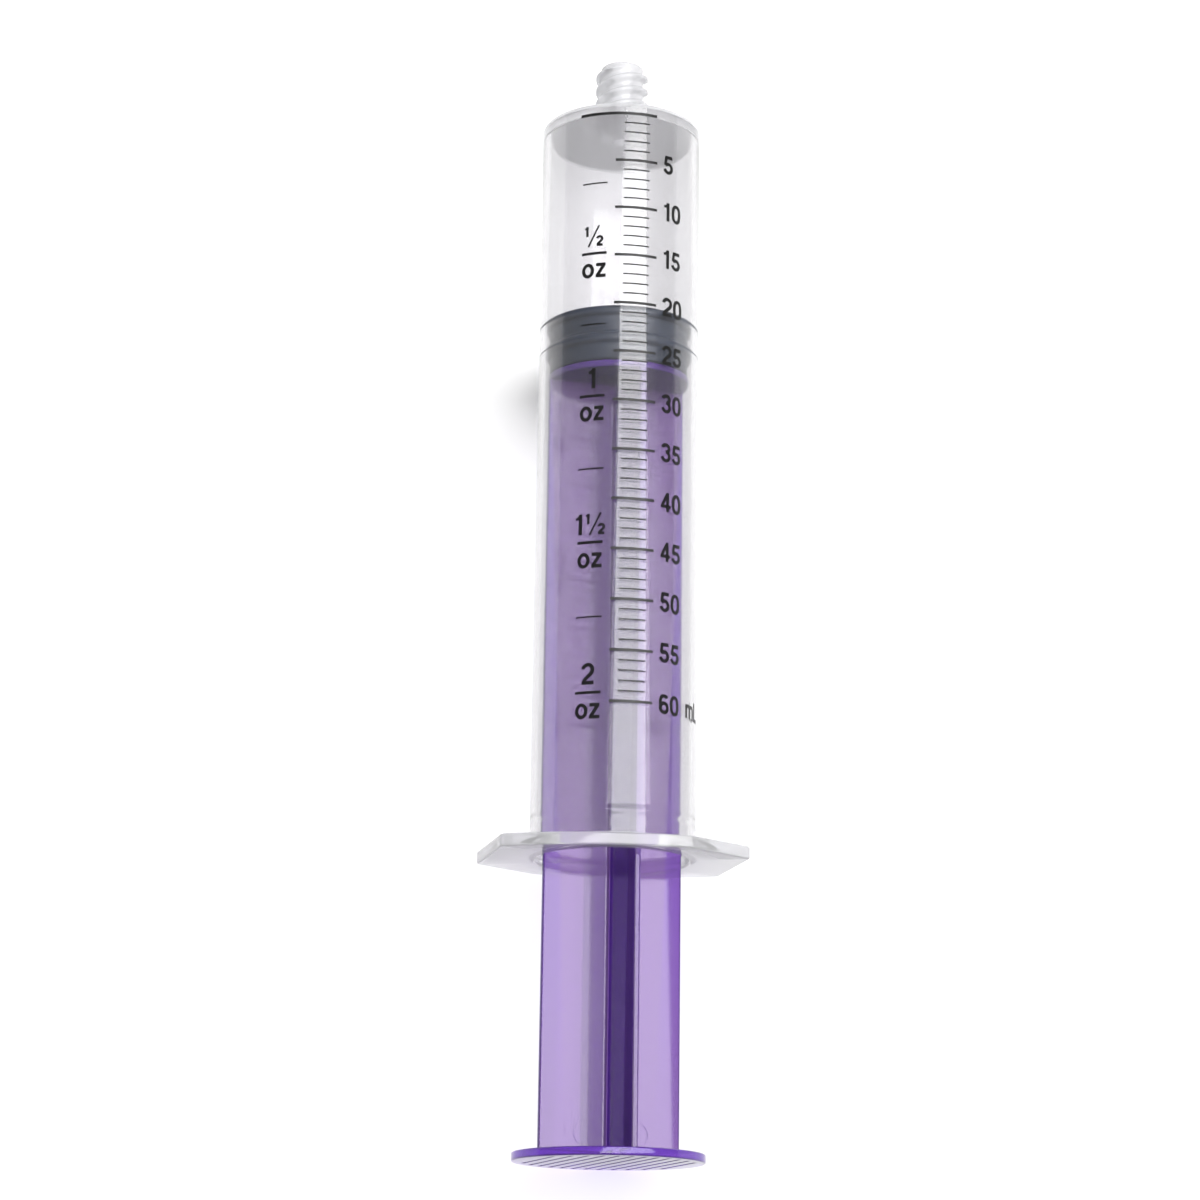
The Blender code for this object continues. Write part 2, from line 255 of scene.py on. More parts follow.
# %% Helpers for node trees
def new_tree(name, inputs):
    """A Geometry Nodes tree with named number inputs. Returns it with its input and output nodes."""
    tree = bpy.data.node_groups.new(name, "GeometryNodeTree")
    tree.interface.new_socket("Geometry", in_out="INPUT", socket_type="NodeSocketGeometry")
    for label in inputs:
        tree.interface.new_socket(label, in_out="INPUT", socket_type="NodeSocketFloat")
    tree.interface.new_socket("Geometry", in_out="OUTPUT", socket_type="NodeSocketGeometry")
    return tree, tree.nodes.new("NodeGroupInput"), tree.nodes.new("NodeGroupOutput")


def feed(tree, socket, value):
    """Links a socket, or sets it to a plain value."""
    if isinstance(value, bpy.types.NodeSocket):
        tree.links.new(value, socket)
    else:
        socket.default_value = value


def maths(tree, operation, *values):
    """One Math node. Returns its result."""
    step = tree.nodes.new("ShaderNodeMath")
    step.operation = operation
    for socket, value in zip(step.inputs, values):
        feed(tree, socket, value)
    return step.outputs[0]


def node(tree, kind, inputs=None, **settings):
    """Any node, with its settings and its inputs by name."""
    made = tree.nodes.new(kind)
    for name, value in settings.items():
        setattr(made, name, value)
    for name, value in (inputs or {}).items():
        feed(tree, made.inputs[name], value)
    return made


def combined(tree, x=0.0, y=0.0, z=0.0):
    """A vector from three numbers."""
    return node(tree, "ShaderNodeCombineXYZ", {"X": x, "Y": y, "Z": z}).outputs[0]


def split_position(tree):
    """The three numbers of each point's position, by name."""
    place = node(tree, "GeometryNodeInputPosition").outputs[0]
    return node(tree, "ShaderNodeSeparateXYZ", {"Vector": place}).outputs


def carried(tree, value, low, high, start=0.0, end=1.0, kind="LINEAR"):
    """A value carried from one range to another."""
    ranges = {"Value": value, "From Min": low, "From Max": high, "To Min": start, "To Max": end}
    return node(tree, "ShaderNodeMapRange", ranges, interpolation_type=kind).outputs[0]


def noise(tree, place, scale, detail):
    """Soft random patches from 0 to 1."""
    inputs = {"Vector": place, "Scale": scale, "Detail": detail}
    return node(tree, "ShaderNodeTexNoise", inputs).outputs["Fac"]


def mixed(tree, factor, first, second):
    """A colour between two colours."""
    mix = node(tree, "ShaderNodeMix", {"Factor": factor}, data_type="RGBA")
    for label, value in (("A", first), ("B", second)):
        feed(tree, mix.inputs[label], (*value, 1.0) if isinstance(value, tuple) else value)
    return mix.outputs["Result"]


def end_tree(tree, geometry, output, material):
    """Realize Instances and Set Material, then the output."""
    real = node(tree, "GeometryNodeRealizeInstances", {"Geometry": geometry})
    painted = node(tree, "GeometryNodeSetMaterial", {"Geometry": real.outputs[0], "Material": material})
    tree.links.new(painted.outputs[0], output.inputs[0])


def run_tree(thing, tree, values):
    """Runs a tree on an object, keeps the result as its plain mesh, and removes the modifier."""
    modifier = thing.modifiers.new(tree.name, "NODES")
    modifier.node_group = tree
    for item in tree.interface.items_tree:
        if item.item_type == "SOCKET" and item.in_out == "INPUT" and item.name in values:
            modifier[item.identifier] = float(values[item.name])
    depsgraph = bpy.context.evaluated_depsgraph_get()
    mesh = bpy.data.meshes.new_from_object(thing.evaluated_get(depsgraph))
    paint = [material for material in mesh.materials if material][-1]
    mesh.materials.clear()
    mesh.materials.append(paint)
    thing.modifiers.clear()
    thing.data = mesh
    return thing


def empty_object(name):
    """An object with an empty mesh, for a tree that makes everything itself."""
    return new_object(name, bpy.data.meshes.new(name))


# %% [markdown]
# ## A moulded surface
# Injection moulding leaves a skin that is glossy but never perfect: faint flow lines that run away from the
# gate, a little unevenness in the gloss, and hairlines from handling. The plastics, the rubber and the ink
# share one shader group for that. It puts out a roughness and a height, and each material sets its amounts.


# %% The shared surface group
def make_moulded_surface():
    """Shader group: flow lines, uneven gloss and hairline scratches on object coordinates."""
    group = bpy.data.node_groups.new("moulded_surface", "ShaderNodeTree")
    for label in ("Gloss Roughness", "Unevenness", "Flow Lines", "Hairlines"):
        group.interface.new_socket(label, in_out="INPUT", socket_type="NodeSocketFloat")
    for label in ("Roughness", "Height"):
        group.interface.new_socket(label, in_out="OUTPUT", socket_type="NodeSocketFloat")
    given = group.nodes.new("NodeGroupInput").outputs
    result = group.nodes.new("NodeGroupOutput").inputs
    place = node(group, "ShaderNodeTexCoord").outputs["Object"]
    along = node(group, "ShaderNodeMapping", {"Vector": place, "Scale": (1.0, 0.06, 1.0)}).outputs[0]
    slant = {"Vector": place, "Rotation": (0.3, 0.2, 0.9), "Scale": (1.0, 0.03, 1.0)}
    slanted = node(group, "ShaderNodeMapping", slant).outputs[0]
    patches = noise(group, place, 90.0, 3.0)
    off_hair = maths(group, "ABSOLUTE", maths(group, "SUBTRACT", noise(group, slanted, 900.0, 1.0), 0.5))
    hair = carried(group, off_hair, 0.0, 0.012, 1.0, 0.0)
    sparse = carried(group, patches, 0.58, 0.66)
    scratched = maths(group, "MULTIPLY", maths(group, "MULTIPLY", hair, sparse), given["Hairlines"])
    uneven = maths(group, "MULTIPLY", maths(group, "SUBTRACT", patches, 0.5), given["Unevenness"])
    gloss = maths(group, "ADD", given["Gloss Roughness"], uneven)
    gloss = maths(group, "ADD", gloss, maths(group, "MULTIPLY", scratched, 0.25))
    feed(group, result["Roughness"], maths(group, "MAXIMUM", gloss, 0.02))
    flow = maths(group, "MULTIPLY", noise(group, along, 420.0, 2.0), given["Flow Lines"])
    grain = maths(group, "MULTIPLY", noise(group, place, 1500.0, 2.0), 0.015)
    feed(group, result["Height"], maths(group, "SUBTRACT", maths(group, "ADD", flow, grain), scratched))
    return group


moulded_surface = make_moulded_surface()
print("shared surface has", len(moulded_surface.nodes), "nodes")


# %% [markdown]
# ## Clear and tinted plastics
# Both the barrel and the rod are transparent, so their materials are real refractive plastics with an index
# of 1.49, that of polypropylene. Light from lamps would be stopped by them, since a path tracer rarely finds
# its way through curved plastic to a lamp, so shadow rays see a plain tinted pane instead. Tinted plastic
# looks pale through its thin side and deep along its length. Here the colour itself deepens on the ribs'
# edges, for that longer path. It also deepens where the surface turns away from the eye, and that is partly
# the longer path and partly painted shade: the shadowed floor under the rod, seen through it. Painting this
# keeps the thin shadows pale. The flange, the end wall and the tip are thicker and cooled slowly, so they
# came out milky.


# %% Materials
def new_material(name):
    """A material with nodes. Returns it with its tree and its Principled shader."""
    material = bpy.data.materials.new(name)
    material.use_nodes = True
    return material, material.node_tree, material.node_tree.nodes["Principled BSDF"]


def moulded(tree, shader, surface):
    """Gives a shader the shared surface's roughness. Returns the surface's height."""
    group = node(tree, "ShaderNodeGroup", node_tree=moulded_surface)
    for label, value in zip(("Gloss Roughness", "Unevenness", "Flow Lines", "Hairlines"), surface):
        group.inputs[label].default_value = value
    feed(tree, shader.inputs["Roughness"], group.outputs["Roughness"])
    return group.outputs["Height"]


def raise_relief(tree, shader, height, strength, distance):
    """Turns a height into small bumps."""
    relief = node(tree, "ShaderNodeBump", {"Height": height, "Strength": strength, "Distance": distance})
    feed(tree, shader.inputs["Normal"], relief.outputs[0])


def see_through(name, colour, haze, shadow, surface, bump):
    """A refractive plastic that lets lamp light through."""
    material, tree, shader = new_material(name)
    shader.inputs["Base Color"].default_value = (*colour, 1.0)
    shader.inputs["IOR"].default_value = 1.49
    shader.inputs["Transmission Weight"].default_value = 1.0 - haze
    raise_relief(tree, shader, moulded(tree, shader, surface), bump, 0.05 * MM)
    pane = node(tree, "ShaderNodeBsdfTransparent", {"Color": (*shadow, 1.0)})
    mix = node(tree, "ShaderNodeMixShader")
    feed(tree, mix.inputs[0], node(tree, "ShaderNodeLightPath").outputs["Is Shadow Ray"])
    feed(tree, mix.inputs[1], shader.outputs[0])
    feed(tree, mix.inputs[2], pane.outputs[0])
    feed(tree, tree.nodes["Material Output"].inputs["Surface"], mix.outputs[0])
    return material


def deepen_edges(material, pale, deep_and_shaded, rim):
    """Deepens a see-through colour on edges, as thick plastic does, and where the surface turns away, which
    is partly painted shade.
    """
    tree = material.node_tree
    edge = node(tree, "ShaderNodeAttribute", attribute_name="edge").outputs["Fac"]
    facing = node(tree, "ShaderNodeLayerWeight", {"Blend": 0.5}).outputs["Facing"]
    # Where the surface turns away, the colour deepens: partly the longer path, partly painted shade of the
    # floor under the rod.
    away = carried(tree, facing, 0.22, 0.6, kind="SMOOTHSTEP")
    colour = mixed(tree, edge, mixed(tree, away, pale, deep_and_shaded), rim)
    feed(tree, tree.nodes["Principled BSDF"].inputs["Base Color"], colour)


PALE_VIOLET = (0.215, 0.11, 0.355)
clear_plastic = see_through("clear_polypropylene", (0.748, 0.743, 0.755), 0.02, (0.92, 0.92, 0.92),
                            (0.07, 0.03, 0.2, 0.3), 0.08)
milky_plastic = see_through("milky_polypropylene", (0.70, 0.70, 0.715), 0.45, (0.90, 0.90, 0.905),
                            (0.10, 0.04, 0.15, 0.3), 0.08)
violet_plastic = see_through("violet_polypropylene", PALE_VIOLET, 0.28, (0.94, 0.94, 0.94),
                             (0.1, 0.03, 0.15, 0.3), 0.06)
# The near-black violet is partly painted shade on the sides turned away from the eye.
deepen_edges(violet_plastic, PALE_VIOLET, (0.022, 0.0005, 0.18), (0.18, 0.06, 0.50))
print("see-through materials:", clear_plastic.name, milky_plastic.name, violet_plastic.name)

# %% [markdown]
# ## The tip's thread
# A thread is a rule: the skin stands out wherever the distance along the axis keeps in step with the angle.
# Wrapping a ridge around the tip and joining it on would leave a seam in clear plastic, so the tree moves
# the barrel's own skin outwards instead. Two starts share one lead, as on the real connector.

# %% The thread, raised from the skin
THREAD = {"Axis Height": AXIS_Z, "First Crest": END_WALL_OUTSIDE + 3.0 * MM, "Lead": 5.2 * MM, "Starts": 2,
          "Ridge Height": 0.9 * MM, "Ridge Width": 2.0 * MM, "Lowest": END_WALL_OUTSIDE + 1.4 * MM,
          "Highest": TIP_END - 0.9 * MM, "Core Radius": TIP_CORE}
THREAD_FADE = 0.9 * MM


def thread_tree(material):
    """Moves the skin of the tip outwards along a helix."""
    tree, given, result = new_tree("tip_thread", list(THREAD))
    value = given.outputs
    place = split_position(tree)
    up = maths(tree, "SUBTRACT", place["Z"], value["Axis Height"])
    turn = maths(tree, "DIVIDE", maths(tree, "ARCTAN2", place["X"], up), 2 * math.pi)
    climb = maths(tree, "DIVIDE", maths(tree, "SUBTRACT", place["Y"], value["First Crest"]), value["Lead"])
    behind = maths(tree, "SUBTRACT", climb, maths(tree, "SUBTRACT", turn, 0.25))
    phase = maths(tree, "MULTIPLY", behind, value["Starts"])
    off_crest = maths(tree, "ABSOLUTE", maths(tree, "SUBTRACT", phase, maths(tree, "ROUND", phase)))
    pitch = maths(tree, "DIVIDE", value["Lead"], value["Starts"])
    away = maths(tree, "MULTIPLY", off_crest, pitch)
    half_width = maths(tree, "DIVIDE", value["Ridge Width"], 2.0)
    crest_width = maths(tree, "MULTIPLY", half_width, 0.15)
    ridge = carried(tree, away, crest_width, half_width, 1.0, 0.0, "SMOOTHSTEP")
    above = maths(tree, "ADD", value["Lowest"], THREAD_FADE)
    below = maths(tree, "SUBTRACT", value["Highest"], THREAD_FADE)
    fade_in = carried(tree, place["Y"], value["Lowest"], above, kind="SMOOTHSTEP")
    fade_out = carried(tree, place["Y"], below, value["Highest"], 1.0, 0.0, "SMOOTHSTEP")
    squares = maths(tree, "ADD", maths(tree, "POWER", place["X"], 2.0), maths(tree, "POWER", up, 2.0))
    radius = maths(tree, "SQRT", squares)
    outside = maths(tree, "COMPARE", radius, value["Core Radius"], 0.05 * MM)
    faded = maths(tree, "MULTIPLY", maths(tree, "MULTIPLY", ridge, fade_in), fade_out)
    amount = maths(tree, "MULTIPLY", faded, outside)
    share = maths(tree, "DIVIDE", maths(tree, "MULTIPLY", amount, value["Ridge Height"]), radius)
    push = combined(tree, maths(tree, "MULTIPLY", place["X"], share), z=maths(tree, "MULTIPLY", up, share))
    moved_skin = node(tree, "GeometryNodeSetPosition", {"Geometry": value["Geometry"], "Offset": push})
    end_tree(tree, moved_skin.outputs[0], result, material)
    return tree


run_tree(barrel, thread_tree(clear_plastic), THREAD)
shade(barrel, 40)
barrel.data.materials.append(milky_plastic)
for face in barrel.data.polygons:
    middle = face.center
    beyond_tube = middle.y > END_WALL_INSIDE - 0.4 * MM
    near_flange = middle.y < FLANGE_FACE + FLANGE_THICKNESS + 0.4 * MM
    in_flange = near_flange and math.hypot(middle.x, middle.z - AXIS_Z) > BARREL_RADIUS
    face.material_index = 1 if beyond_tube or in_flange else 0
tip_corners = [corner.co for corner in barrel.data.vertices if corner.co.y > END_WALL_OUTSIDE + 1 * MM]
crest = max(math.hypot(corner.x, corner.z - AXIS_Z) for corner in tip_corners)
print(f"thread stands at {2 * crest / MM:.2f} mm over its crests")

# %% [markdown]
# ## The printed scale: lines
# The scale is a film of black ink on the outside of the barrel. Its lines repeat every millilitre, so a tree
# makes one thin bar, repeats it along the syringe, and bends the lot around the barrel: a place across the
# flat print becomes an angle. Long lines mark every 5 mL, short ones every millilitre, and on the left the
# fluid-ounce lines have their own spacing.

# %% Scale lines
INK_GAP = 0.012 * MM
INK_FILM = 0.03 * MM
INK_RADIUS = BARREL_RADIUS + INK_GAP + INK_FILM / 2
OUNCE_ML = 29.5735


def ink_material():
    """Black screen-printing ink: slightly uneven cover, a little softer than the plastic."""
    material, tree, shader = new_material("printing_ink")
    shader.inputs["Specular IOR Level"].default_value = 0.3
    moulded(tree, shader, (0.32, 0.2, 0.1, 0.4))
    place = node(tree, "ShaderNodeTexCoord").outputs["Object"]
    tone = carried(tree, noise(tree, place, 2600.0, 2.0), 0.3, 0.8, 0.003, 0.014)
    colour = node(tree, "ShaderNodeCombineColor", {"Red": tone, "Green": tone, "Blue": tone})
    feed(tree, shader.inputs["Base Color"], colour.outputs[0])
    return material


black_ink = ink_material()


def line_tree(material):
    """A row of thin bars across the syringe, bent around the barrel."""
    labels = ["Start", "Spacing", "Count", "Line Width", "From Angle", "To Angle", "Radius", "Film",
              "Axis Height"]
    tree, given, result = new_tree("scale_lines", labels)
    value = given.outputs
    span = maths(tree, "SUBTRACT", value["To Angle"], value["From Angle"])
    middle = maths(tree, "DIVIDE", maths(tree, "ADD", value["From Angle"], value["To Angle"]), 2.0)
    bar_size = combined(tree, span, value["Line Width"], value["Film"])
    bar = node(tree, "GeometryNodeMeshCube", {"Size": bar_size, "Vertices X": 33}).outputs["Mesh"]
    row = node(tree, "GeometryNodeMeshLine", {
        "Count": value["Count"], "Start Location": combined(tree, middle, value["Start"]),
        "Offset": combined(tree, y=value["Spacing"])})
    bars = node(tree, "GeometryNodeInstanceOnPoints", {"Points": row.outputs[0], "Instance": bar})
    flat = node(tree, "GeometryNodeRealizeInstances", {"Geometry": bars.outputs[0]})
    place = split_position(tree)
    reach = maths(tree, "ADD", value["Radius"], place["Z"])
    across = maths(tree, "MULTIPLY", reach, maths(tree, "SINE", place["X"]))
    height = maths(tree, "MULTIPLY", reach, maths(tree, "COSINE", place["X"]))
    bent = combined(tree, across, place["Y"], maths(tree, "ADD", height, value["Axis Height"]))
    wrapped = node(tree, "GeometryNodeSetPosition", {"Geometry": flat.outputs[0], "Position": bent})
    end_tree(tree, wrapped.outputs[0], result, material)
    return tree


scale_lines = line_tree(black_ink)


def at_volume(millilitres):
    """Place along the syringe for a volume."""
    return ZERO_MARK - millilitres * STROKE_PER_ML


def print_lines(name, first_ml, spacing_ml, count, width, angles):
    """A row of scale lines at even volumes."""
    return run_tree(empty_object(name), scale_lines, {
        "Start": at_volume(first_ml), "Spacing": -spacing_ml * STROKE_PER_ML, "Count": count,
        "Line Width": width, "From Angle": math.radians(angles[0]), "To Angle": math.radians(angles[1]),
        "Radius": INK_RADIUS, "Film": INK_FILM, "Axis Height": AXIS_Z})


FINE_LINE = 0.28 * MM
BOLD_LINE = 0.5 * MM
OUNCE_ANGLES = (-27.8, -9.4)
HALF_OUNCE = OUNCE_ML / 2
rows = [print_lines("zero_line", 0, 1, 1, 0.55 * MM, (-30.0, 26.2)),
        print_lines("five_ml_lines", 5, 5, 12, BOLD_LINE, (-3.8, 26.7)),
        print_lines("half_ounce_lines", HALF_OUNCE, HALF_OUNCE, 4, BOLD_LINE, OUNCE_ANGLES),
        print_lines("quarter_ounce_lines", HALF_OUNCE / 2, HALF_OUNCE, 4, FINE_LINE, OUNCE_ANGLES)]
rows += [print_lines(f"millilitre_lines_{five}", five + 1, 1, 4, FINE_LINE, (2.3, 20.8))
         for five in range(0, 60, 5)]
print("scale lines:", sum(len(row.data.polygons) for row in rows), "faces in", len(rows), "rows")

# %% [markdown]
# ## The printed scale: numbers
# The figures are heavy and narrow, as on most dosing scales. Each one is drawn as strokes of one width
# along a few lines and arcs, in millimetres for a figure 3.5 mm tall, so it has the even weight of a
# screen print.


# %% Strokes of the figures
def arc(middle, reach, first, last, steps=12, bulge=1.0):
    """Points along an ellipse between two angles in degrees. A bulge below 1 squares it off."""
    points = []
    for step in range(steps + 1):
        angle = math.radians(first + (last - first) * step / steps)
        across = math.copysign(abs(math.cos(angle)) ** bulge, math.cos(angle))
        up = math.copysign(abs(math.sin(angle)) ** bulge, math.sin(angle))
        points.append((middle[0] + reach[0] * across, middle[1] + reach[1] * up))
    return points


def moved(strokes, shift, scale, weight_share):
    """The same strokes, smaller, finer and somewhere else."""
    return [([(shift[0] + x * scale, shift[1] + y * scale) for x, y in points], weight * weight_share)
            for points, weight in strokes]


ONE = [([(1.05, 3.5), (1.05, 0.0)], 1.0), ([(0.2, 2.72), (0.7, 2.86), (1.0, 3.2)], 0.8)]
TWO = [(arc((1.05, 2.5), (0.78, 0.73), 178, 0) + arc((0.85, 2.4), (0.98, 1.0), -4, -36, 4)
        + [(0.5, 0.75), (0.34, 0.3)], 1.0),
       ([(0.06, 0.28), (2.06, 0.28)], 1.0)]
FIGURES = {
    "0": (2.1, [(arc((1.05, 1.75), (0.77, 1.48), 0, 360, 32, 0.82), 1.0)]),
    "1": (1.6, ONE),
    "2": (2.1, TWO),
    "3": (2.1, [(arc((1.02, 2.58), (0.70, 0.64), 172, -90), 1.0),
                (arc((1.02, 1.1), (0.78, 0.82), 90, -172), 1.0)]),
    "4": (2.2, [([(1.5, 3.5), (1.5, 0.0)], 1.0),
                ([(1.38, 3.2), (0.3, 1.05)], 0.9),
                ([(0.05, 0.98), (2.2, 0.98)], 0.95)]),
    "5": (2.1, [([(0.42, 3.22), (1.95, 3.22)], 1.0),
                ([(0.6, 3.4), (0.4, 1.7)], 0.9),
                (arc((1.02, 1.12), (0.79, 0.84), 142, -170), 1.0)]),
    "6": (2.1, [(arc((1.06, 1.1), (0.76, 0.82), 0, 360, 24), 1.0),
                (arc((1.1, 1.9), (0.82, 1.32), 185, 90, 10, 0.9)
                 + arc((1.1, 2.6), (0.66, 0.62), 84, 22, 5), 1.0)]),
    "o": (3.0, [(arc((1.5, 1.75), (1.1, 1.4), 0, 360, 28), 1.3)]),
    "z": (2.5, [([(0.15, 3.1), (2.4, 3.1)], 1.3),
                ([(2.1, 3.1), (0.4, 0.4)], 1.25),
                ([(0.1, 0.38), (2.45, 0.38)], 1.3)]),
    "m": (3.3, [([(0.3, 2.6), (0.3, 0.0)], 1.0),
                (arc((0.98, 1.75), (0.66, 0.62), 175, 0) + [(1.64, 0.0)], 1.0),
                (arc((2.32, 1.75), (0.68, 0.62), 175, 0) + [(3.0, 0.0)], 1.0)]),
    "L": (2.0, [([(0.3, 3.5), (0.3, 0.0)], 1.0), ([(0.1, 0.28), (1.95, 0.28)], 1.0)]),
    "½": (3.5, moved(ONE, (0.0, 1.75), 0.5, 0.7) + moved(TWO, (2.2, 0.0), 0.5, 0.7)
          + [([(0.75, -0.1), (2.6, 3.6)], 0.5)]),
}
FIGURE_HEIGHT = 3.5
STROKE = 0.64
FIGURE_GAP = 0.32


def ribbon(sheet, points, half):
    """A flat strip of one width along a row of points."""
    row = []
    looped = (Vector(points[0]) - Vector(points[-1])).length < 1e-6
    for number, point in enumerate(points):
        before = Vector(points[max(number - 1, 0)])
        after = Vector(points[min(number + 1, len(points) - 1)])
        if looped and number in (0, len(points) - 1):
            before, after = Vector(points[-2]), Vector(points[1])
        along = (after - before).normalized()
        side = Vector((-along.y, along.x)) * half
        edges = [(point[0] + way * side.x, point[1] + way * side.y, 0.0) for way in (1, -1)]
        row.append([sheet.verts.new(edge) for edge in edges])
    for first, second in zip(row, row[1:]):
        sheet.faces.new((first[0], first[1], second[1], second[0]))


def print_words(sheet, words, place, height, centred=False):
    """Lays a word's strokes on the flat sheet. The place is its left end, or its middle if centred."""
    grow = height / FIGURE_HEIGHT
    length = sum(FIGURES[letter][0] for letter in words) + FIGURE_GAP * (len(words) - 1)
    left = place[0] - (length * grow / 2 if centred else 0.0)
    for letter in words:
        width, strokes = FIGURES[letter]
        for points, weight in strokes:
            laid = [(left + x * grow, place[1] + (y - FIGURE_HEIGHT / 2) * grow) for x, y in points]
            ribbon(sheet, laid, STROKE * weight * grow / 2)
        left += (width + FIGURE_GAP) * grow


# %% [markdown]
# ## Wrapping the figures
# A real scale is printed while the barrel rolls under a flat screen, so each figure keeps its width around
# the curve. Bending a flat figure needs narrow faces: the whole sheet is sliced every quarter of a
# millimetre, given the ink's thickness, and only then bent.

# %% Slicing, thickening and bending the print
def wrap_print(name, sheet, material):
    """Slices a flat sheet of figures, gives it the ink's thickness and bends it around the barrel."""
    bmesh.ops.remove_doubles(sheet, verts=sheet.verts, dist=1e-7)
    low = min(corner.co.x for corner in sheet.verts)
    high = max(corner.co.x for corner in sheet.verts)
    slice_width = 0.25 * MM
    for cut in range(1, int((high - low) / slice_width) + 1):
        everything = sheet.verts[:] + sheet.edges[:] + sheet.faces[:]
        bmesh.ops.bisect_plane(sheet, geom=everything, plane_co=(low + cut * slice_width, 0, 0),
                               plane_no=(1, 0, 0), dist=1e-8)
    bmesh.ops.recalc_face_normals(sheet, faces=sheet.faces)
    for face in sheet.faces:
        if face.normal.z < 0:
            face.normal_flip()
    made = bmesh.ops.extrude_face_region(sheet, geom=sheet.faces[:])
    raised = [item for item in made["geom"] if isinstance(item, bmesh.types.BMVert)]
    bmesh.ops.translate(sheet, verts=raised, vec=(0, 0, INK_FILM))
    bmesh.ops.recalc_face_normals(sheet, faces=sheet.faces)
    for corner in sheet.verts:
        flat = corner.co.copy()
        corner.co = on_axis(BARREL_RADIUS + INK_GAP + flat.z, flat.x / BARREL_RADIUS, flat.y)
    printed = object_from(name, sheet)
    printed.data.materials.append(material)
    return printed


def around(degrees):
    """Distance around the barrel for an angle."""
    return math.radians(degrees) * BARREL_RADIUS


print_sheet = bmesh.new()
for millilitres in range(5, 65, 5):
    beside_line = (around(31.9), at_volume(millilitres) + 0.15 * MM)
    print_words(print_sheet, str(millilitres), beside_line, 3.5 * MM)
print_words(print_sheet, "mL", (around(58.3), at_volume(60) + 0.4 * MM), 3.3 * MM)
for halves, label in enumerate(("½", "1", "1½", "2"), start=1):
    mark = at_volume(halves * HALF_OUNCE)
    print_words(print_sheet, label, (around(-18.6), mark + 3.3 * MM), 3.75 * MM, centred=True)
    print_words(print_sheet, "oz", (around(-18.6), mark - 3.25 * MM), 2.7 * MM, centred=True)
numbers = wrap_print("scale_numbers", print_sheet, black_ink)
print("scale numbers:", len(numbers.data.polygons), "faces")

# %% [markdown]
# ## The rubber stopper
# The stopper is a turned plug: a front ring, a waist, a second ring and a skirt. Rubber rings are never
# sharp, so each ring is a rounded bulge, and the front face dips slightly. The rings press a hair into the
# bore, because light would otherwise show a false gap there. The rear is open for the rod's button, with a
# lip that snaps behind it.

# %% The stopper's skin
RING_RADIUS = BORE_RADIUS + 0.01 * MM
STOPPER_SIDES = 192


def stopper_rings():
    """Rings of the stopper from the middle of its front face to the roof of its cavity."""
    waist, skirt, mouth, cavity = 12.45 * MM, 12.35 * MM, 6.0 * MM, 8.5 * MM
    to_waist = (waist - RING_RADIUS) / MM
    front, bulge = STOPPER_FRONT, STOPPER_FRONT - 5.9 * MM
    lip, roof = STOPPER_REAR + 2.5 * MM, STOPPER_REAR + 6.9 * MM
    rings = [(0.0, front - 0.35 * MM), (7.0 * MM, front - 0.3 * MM), (10.5 * MM, front - 0.12 * MM)]
    rings += rounded(RING_RADIUS, front, (-1.4, 0), (0, -0.6), 6)
    rings += rounded(RING_RADIUS, front - 1.6 * MM, (0, 0.6), (to_waist + 0.1, -0.2), 4)
    rings += rounded(waist, front - 2.0 * MM, (0.1, 0.1), (0, -0.4), 3)
    rings += rounded(waist, bulge + 1.1 * MM, (0, 0.5), (0.2, -0.15), 3)
    rings += rounded(RING_RADIUS, bulge + 0.6 * MM, (-0.3, 0.15), (0, -0.6), 4)
    rings += rounded(RING_RADIUS, bulge - 0.6 * MM, (0, 0.6), (-0.3, -0.15), 4)
    rings += rounded(skirt, bulge - 1.1 * MM, (0.2, 0.15), (0, -0.5), 3)
    rings += rounded(skirt, STOPPER_REAR, (0, 0.5), (-0.5, 0), 4)
    rings += rounded(mouth, STOPPER_REAR, (0.4, 0), (0, 0.4), 3)
    rings += rounded(mouth, lip, (0, -0.4), (0.4, 0), 3)
    return rings + [(cavity, lip), (cavity, roof), (0.0, roof)]


stopper = turned_skin("stopper_rubber", stopper_rings(), STOPPER_SIDES)
shade(stopper, 50)


def rubber_material():
    """Slate-grey moulded rubber with a soft lubricated sheen."""
    material, tree, shader = new_material("slate_rubber")
    raise_relief(tree, shader, moulded(tree, shader, (0.42, 0.2, 0.2, 0.1)), 0.25, 0.1 * MM)
    place = node(tree, "ShaderNodeTexCoord").outputs["Object"]
    tone = mixed(tree, noise(tree, place, 1800.0, 3.0), (0.013, 0.020, 0.041), (0.021, 0.030, 0.054))
    feed(tree, shader.inputs["Base Color"], tone)
    return material


stopper.data.materials.append(rubber_material())
print("stopper:", len(stopper.data.polygons), "faces")

# %% [markdown]
# ## The plunger rod
# The rod is a cross of four ribs between a head disc and a thumb disc. Its section is drawn once, with
# filleted roots and rounded edges, and drawn out along the axis. The head, its neck and button, and the
# thumb disc are turned. All of them are joined with exact Booleans, because two overlapping solids of clear
# plastic would show their hidden walls.

# %% The cross of ribs
RIB_RADIUS = 12.7 * MM
RIB_EDGE = 0.55 * MM
RIB_ROUNDING = 0.25 * MM
RIB_ROOT = 0.8 * MM
ROOT_FILLET = 0.7 * MM
THUMB_RADIUS = 16.5 * MM
THUMB_INSIDE = THUMB_OUTSIDE + 1.5 * MM
HEAD_FRONT = STOPPER_REAR - 0.3 * MM
HEAD_BACK = HEAD_FRONT - 1.2 * MM


